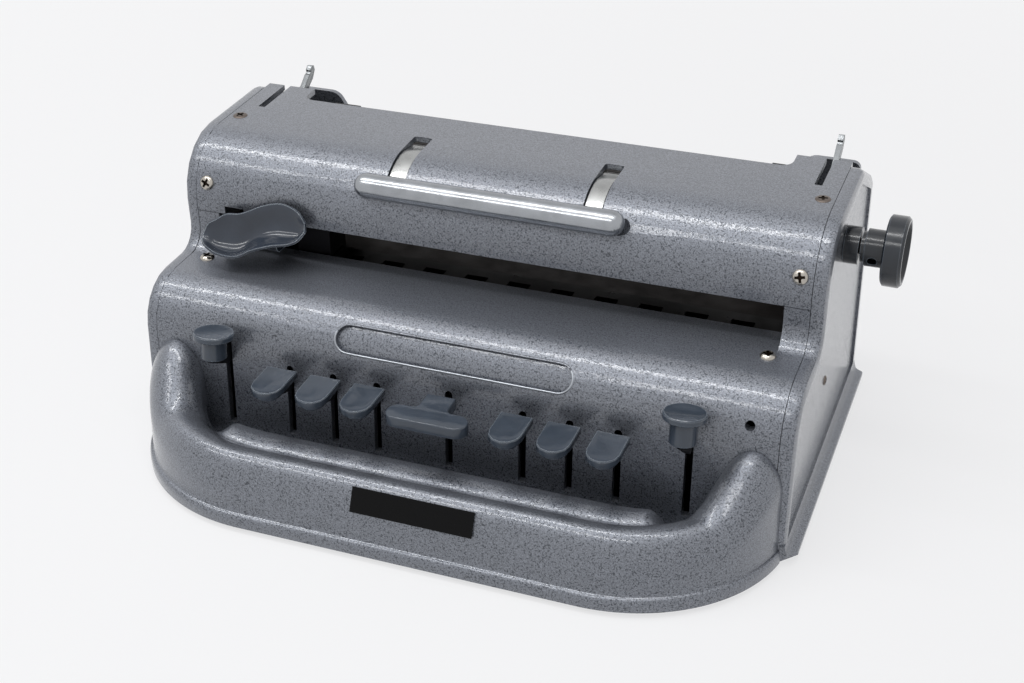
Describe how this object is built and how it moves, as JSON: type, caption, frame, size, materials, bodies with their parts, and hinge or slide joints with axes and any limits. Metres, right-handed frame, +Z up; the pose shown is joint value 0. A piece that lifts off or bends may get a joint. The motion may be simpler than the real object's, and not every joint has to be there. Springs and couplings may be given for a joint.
{
  "type": "braille typewriter",
  "caption": "Braille typewriter with a cast metal case, rounded hand rest, dot keys, space key, round command keys, carriage lever, paper knob and lifting handle.",
  "frame": {"origin": "centre of the footprint box, on the table under the feet", "axes": "+X to the operator's right, towards the paper knob; +Y away from the operator, towards the paper entry; +Z up"},
  "size_m": [0.3844, 0.245, 0.15],
  "materials": {
    "hammertone_paint": "glossy hammertone enamel, blue-grey with dark flecks",
    "blackened_steel": "blackened",
    "rubber": "matte",
    "label_black": "gloss film, bare",
    "key_plastic": "semi-gloss dark blue-grey",
    "knob_plastic": "semi-gloss near-black blue",
    "polished_metal": "polished",
    "plain_steel": "ground",
    "brown_steel": "brown oxide",
    "bell_brass": "satin"
  },
  "bodies": {
    "housing": {"front_panel": "hammertone_paint", "hand_rest": "hammertone_paint", "left_end_plate": "hammertone_paint", "right_end_plate": "hammertone_paint", "upper_cover": "hammertone_paint", "base_plate": "blackened_steel", "rear_panel": "hammertone_paint", "rubber_foot_front_left": "rubber", "rubber_foot_front_right": "rubber", "rubber_foot_rear_left": "rubber", "rubber_foot_rear_right": "rubber", "label_plate": "label_black", "handle_pivot_rod": "plain_steel", "key_shaft": "plain_steel", "carriage_rail": "plain_steel", "escapement_rack": "plain_steel", "knob_bushing": "knob_plastic", "paper_table": "brown_steel", "margin_rail": "plain_steel", "bell": "bell_brass"},
    "handle": {"handle_bar": "polished_metal", "handle_arm_left": "polished_metal", "handle_arm_right": "polished_metal"},
    "dot_key_3": {"dot_key_3": "key_plastic", "dot_lever_3": "blackened_steel"},
    "dot_key_2": {"dot_key_2": "key_plastic", "dot_lever_2": "blackened_steel"},
    "dot_key_1": {"dot_key_1": "key_plastic", "dot_lever_1": "blackened_steel"},
    "dot_key_4": {"dot_key_4": "key_plastic", "dot_lever_4": "blackened_steel"},
    "dot_key_5": {"dot_key_5": "key_plastic", "dot_lever_5": "blackened_steel"},
    "dot_key_6": {"dot_key_6": "key_plastic", "dot_lever_6": "blackened_steel"},
    "space_key": {"space_key": "key_plastic", "space_lever": "blackened_steel"},
    "line_key": {"line_key": "key_plastic", "line_lever": "blackened_steel"},
    "backspace_key": {"backspace_key": "key_plastic", "backspace_lever": "blackened_steel"},
    "embossing_bail_3": {"embossing_bail_3": "blackened_steel"},
    "embossing_bail_2": {"embossing_bail_2": "blackened_steel"},
    "embossing_bail_1": {"embossing_bail_1": "blackened_steel"},
    "embossing_bail_4": {"embossing_bail_4": "blackened_steel"},
    "embossing_bail_5": {"embossing_bail_5": "blackened_steel"},
    "embossing_bail_6": {"embossing_bail_6": "blackened_steel"},
    "carriage": {"carriage_body": "blackened_steel"},
    "carriage_lever": {"carriage_lever": "key_plastic"},
    "paper_feed": {"feed_roller": "rubber", "roller_shaft": "plain_steel", "feed_knob": "knob_plastic", "ratchet_wheel": "plain_steel"},
    "paper_release": {"release_shaft": "plain_steel", "release_lever_left": "polished_metal", "release_lever_right": "polished_metal"},
    "margin_stop_left": {"margin_stop_left": "plain_steel"},
    "margin_stop_right": {"margin_stop_right": "plain_steel"},
    "mainspring_drum": {"mainspring_drum": "blackened_steel"}
  },
  "joints": [
    {"name": "dot_key_3_press", "type": "hinge", "parent": "housing", "child": "dot_key_3", "pos_m": [-0.101, 0.0085, 0.036], "axis": [1, 0, 0], "range_deg": [0, 7.45], "stiffness_Nm_per_rad": 0.6, "springref_deg": -14.32},
    {"name": "dot_key_2_press", "type": "hinge", "parent": "housing", "child": "dot_key_2", "pos_m": [-0.0761, 0.0085, 0.036], "axis": [1, 0, 0], "range_deg": [0, 7.45], "stiffness_Nm_per_rad": 0.6, "springref_deg": -14.32},
    {"name": "dot_key_1_press", "type": "hinge", "parent": "housing", "child": "dot_key_1", "pos_m": [-0.0515, 0.0085, 0.036], "axis": [1, 0, 0], "range_deg": [0, 7.45], "stiffness_Nm_per_rad": 0.6, "springref_deg": -14.32},
    {"name": "dot_key_4_press", "type": "hinge", "parent": "housing", "child": "dot_key_4", "pos_m": [0.0279, 0.0085, 0.036], "axis": [1, 0, 0], "range_deg": [0, 7.45], "stiffness_Nm_per_rad": 0.6, "springref_deg": -14.32},
    {"name": "dot_key_5_press", "type": "hinge", "parent": "housing", "child": "dot_key_5", "pos_m": [0.0525, 0.0085, 0.036], "axis": [1, 0, 0], "range_deg": [0, 7.45], "stiffness_Nm_per_rad": 0.6, "springref_deg": -14.32},
    {"name": "dot_key_6_press", "type": "hinge", "parent": "housing", "child": "dot_key_6", "pos_m": [0.0774, 0.0085, 0.036], "axis": [1, 0, 0], "range_deg": [0, 7.45], "stiffness_Nm_per_rad": 0.6, "springref_deg": -14.32},
    {"name": "space_key_press", "type": "hinge", "parent": "housing", "child": "space_key", "pos_m": [-0.0118, 0.0085, 0.036], "axis": [1, 0, 0], "range_deg": [0, 7.45], "stiffness_Nm_per_rad": 0.6, "springref_deg": -14.32},
    {"name": "line_key_press", "type": "hinge", "parent": "housing", "child": "line_key", "pos_m": [-0.1368, 0.0085, 0.036], "axis": [1, 0, 0], "range_deg": [0, 7.45], "stiffness_Nm_per_rad": 0.6, "springref_deg": -14.32},
    {"name": "backspace_key_press", "type": "hinge", "parent": "housing", "child": "backspace_key", "pos_m": [0.1132, 0.0085, 0.036], "axis": [1, 0, 0], "range_deg": [0, 7.45], "stiffness_Nm_per_rad": 0.6, "springref_deg": -14.32},
    {"name": "embossing_bail_3_lift", "type": "slide", "parent": "housing", "child": "embossing_bail_3", "axis": [0, 0, 1], "range_m": [0, 0.0042]},
    {"name": "embossing_bail_2_lift", "type": "slide", "parent": "housing", "child": "embossing_bail_2", "axis": [0, 0, 1], "range_m": [0, 0.0038]},
    {"name": "embossing_bail_1_lift", "type": "slide", "parent": "housing", "child": "embossing_bail_1", "axis": [0, 0, 1], "range_m": [0, 0.0033]},
    {"name": "embossing_bail_4_lift", "type": "slide", "parent": "housing", "child": "embossing_bail_4", "axis": [0, 0, 1], "range_m": [0, 0.0047]},
    {"name": "embossing_bail_5_lift", "type": "slide", "parent": "housing", "child": "embossing_bail_5", "axis": [0, 0, 1], "range_m": [0, 0.0052]},
    {"name": "embossing_bail_6_lift", "type": "slide", "parent": "housing", "child": "embossing_bail_6", "axis": [0, 0, 1], "range_m": [0, 0.0056]},
    {"name": "carriage_travel", "type": "slide", "parent": "housing", "child": "carriage", "axis": [1, 0, 0], "range_m": [0, 0.256]},
    {"name": "carriage_lever_press", "type": "hinge", "parent": "carriage", "child": "carriage_lever", "pos_m": [-0.1308, 0.02, 0.1005], "axis": [1, 0, 0], "range_deg": [0, 8], "stiffness_Nm_per_rad": 0.4, "springref_deg": -17.19},
    {"name": "paper_feed_turn", "type": "hinge", "parent": "housing", "child": "paper_feed", "pos_m": [-0.0118, 0.0495, 0.123], "axis": [1, 0, 0], "continuous": true},
    {"name": "paper_release_swing", "type": "hinge", "parent": "housing", "child": "paper_release", "pos_m": [-0.0118, 0.0855, 0.122], "axis": [1, 0, 0], "range_deg": [0, 50]},
    {"name": "handle_lift", "type": "hinge", "parent": "housing", "child": "handle", "pos_m": [-0.0118, 0.0435, 0.141], "axis": [-1, 0, 0], "range_deg": [0, 75]},
    {"name": "margin_stop_left_slide", "type": "slide", "parent": "housing", "child": "margin_stop_left", "axis": [1, 0, 0], "range_m": [-0.02, 0.11]},
    {"name": "margin_stop_right_slide", "type": "slide", "parent": "housing", "child": "margin_stop_right", "axis": [1, 0, 0], "range_m": [-0.11, 0.02]},
    {"name": "mainspring_drum_turn", "type": "hinge", "parent": "housing", "child": "mainspring_drum", "pos_m": [0.1082, 0.1045, 0.045], "axis": [0, 1, 0], "range_deg": [0, 667]}
  ],
  "couplings": [
    {"joint": "embossing_bail_3_lift", "follows": "dot_key_3_press", "m_per_rad": 0.0321},
    {"joint": "embossing_bail_2_lift", "follows": "dot_key_2_press", "m_per_rad": 0.0285},
    {"joint": "embossing_bail_1_lift", "follows": "dot_key_1_press", "m_per_rad": 0.0249},
    {"joint": "embossing_bail_4_lift", "follows": "dot_key_4_press", "m_per_rad": 0.0357},
    {"joint": "embossing_bail_5_lift", "follows": "dot_key_5_press", "m_per_rad": 0.0393},
    {"joint": "embossing_bail_6_lift", "follows": "dot_key_6_press", "m_per_rad": 0.0429},
    {"joint": "mainspring_drum_turn", "follows": "carriage_travel", "rad_per_m": 45.45}
  ]
}
